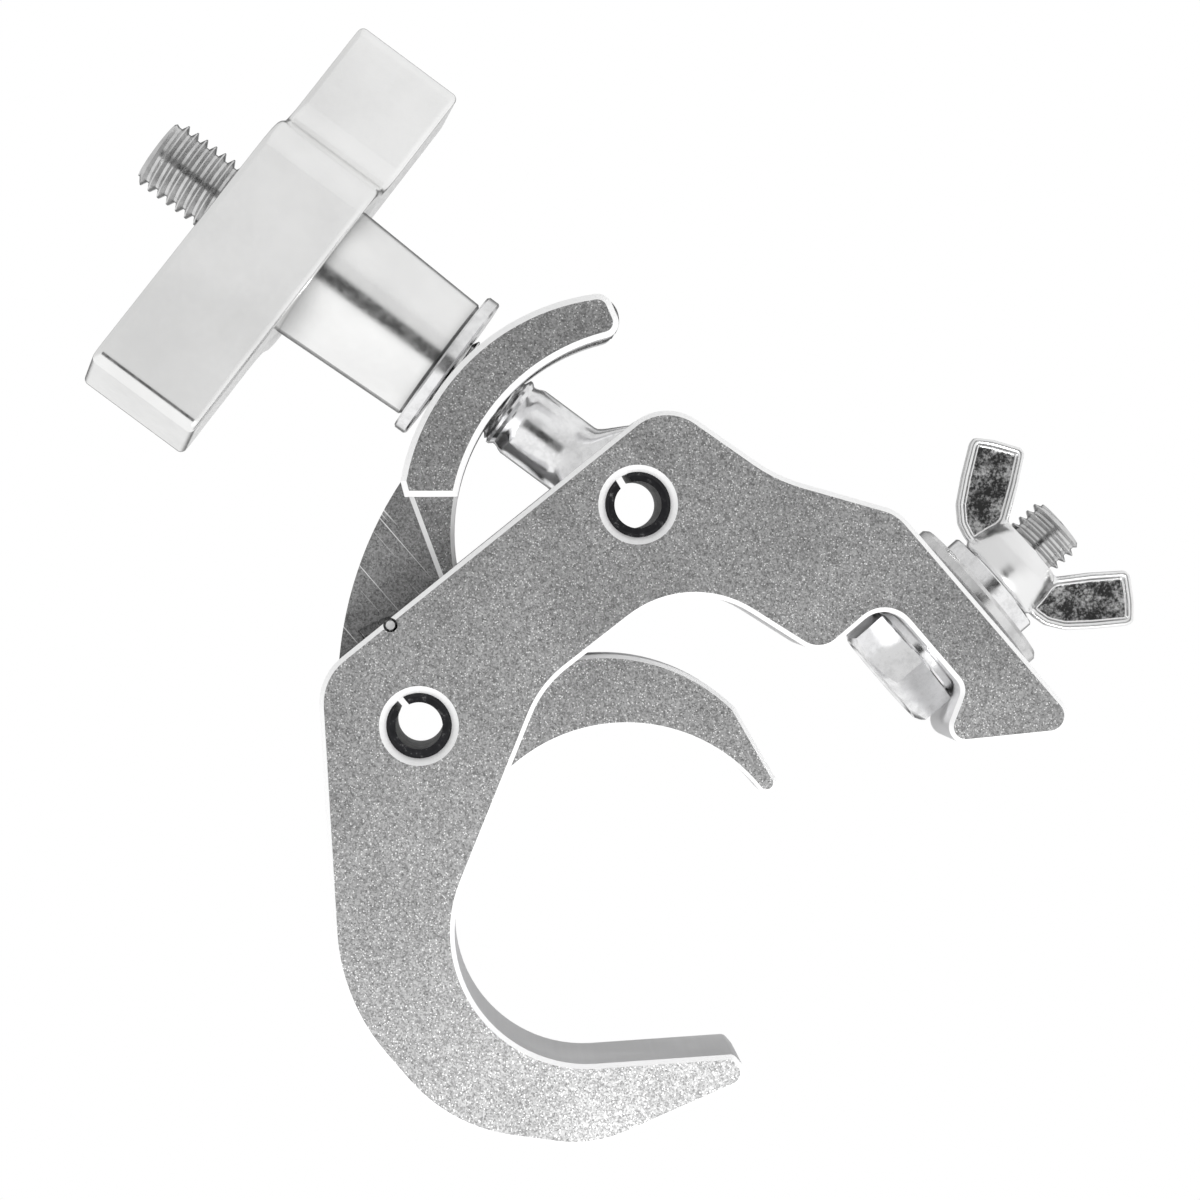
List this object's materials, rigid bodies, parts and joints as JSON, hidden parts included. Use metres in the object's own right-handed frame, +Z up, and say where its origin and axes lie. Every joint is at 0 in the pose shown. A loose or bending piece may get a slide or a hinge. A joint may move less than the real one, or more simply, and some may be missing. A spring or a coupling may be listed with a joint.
{
  "type": "trigger hook clamp",
  "caption": "Quick-trigger hook clamp for a lighting tube: hooked body, pivoting trigger jaw, swing bolt with T-handle, and fixture bolt with wing nut.",
  "frame": {"origin": "on the axis of the gripped tube, at the middle of the clamp's thickness", "axes": "+Y along the tube, +Z up when the clamp hangs, fixture bolt along -Z, T-handle towards +X"},
  "size_m": [0.1687, 0.0488, 0.1359],
  "materials": {
    "tumbled_aluminium": "tumbled, fine speckle, bright chamfers",
    "black_oxide_steel": "black oxide",
    "spring_steel": "bright drawn wire",
    "zinc_plated_steel": "bright zinc plate",
    "plated_casting": "satin plated casting"
  },
  "bodies": {
    "clamp": {"clamp_body": "tumbled_aluminium", "trigger_pin": "black_oxide_steel", "eye_bolt_pin": "black_oxide_steel", "trigger_spring": "spring_steel", "fixture_bolt": "zinc_plated_steel", "bolt_head_washer": "zinc_plated_steel", "fixture_washer": "zinc_plated_steel"},
    "trigger": {"trigger_lever": "tumbled_aluminium"},
    "swing_bolt": {"eye_bolt": "zinc_plated_steel"},
    "washer_carrier": {"thrust_washer": "zinc_plated_steel"},
    "handle": {"t_handle": "plated_casting"},
    "nut_carrier": {"lock_washer": "zinc_plated_steel"},
    "nut": {"wing_nut": "plated_casting"}
  },
  "joints": [
    {"name": "bolt_swing", "type": "hinge", "parent": "clamp", "child": "swing_bolt", "pos_m": [0.0447, 0, -0.0406], "axis": [0, 1, 0], "range_deg": [0, 80]},
    {"name": "handle_travel", "type": "slide", "parent": "swing_bolt", "child": "washer_carrier", "axis": [-0.9759, 0, -0.2181], "range_m": [-0.00876, 0.00876]},
    {"name": "handle_spin", "type": "hinge", "parent": "washer_carrier", "child": "handle", "pos_m": [0.11301, 0, -0.02533], "axis": [-0.9759, 0, -0.2181], "range_deg": [-1800, 1800]},
    {"name": "trigger_swing", "type": "hinge", "parent": "clamp", "child": "trigger", "pos_m": [0.041, 0, 0.0068], "axis": [0, 1, 0], "range_deg": [-11.4, 11.4]},
    {"name": "nut_travel", "type": "slide", "parent": "clamp", "child": "nut_carrier", "axis": [0, 0, -1], "range_m": [0, 0.0045]},
    {"name": "nut_spin", "type": "hinge", "parent": "nut_carrier", "child": "nut", "pos_m": [-0.001, 0, -0.078], "axis": [0, 0, -1], "range_deg": [0, 1081]}
  ],
  "couplings": [
    {"joint": "handle_travel", "follows": "handle_spin", "m_per_rad": 0.00027852},
    {"joint": "trigger_swing", "follows": "handle_spin", "ratio": 0.00633},
    {"joint": "nut_spin", "follows": "nut_travel", "rad_per_m": 4188.8}
  ]
}
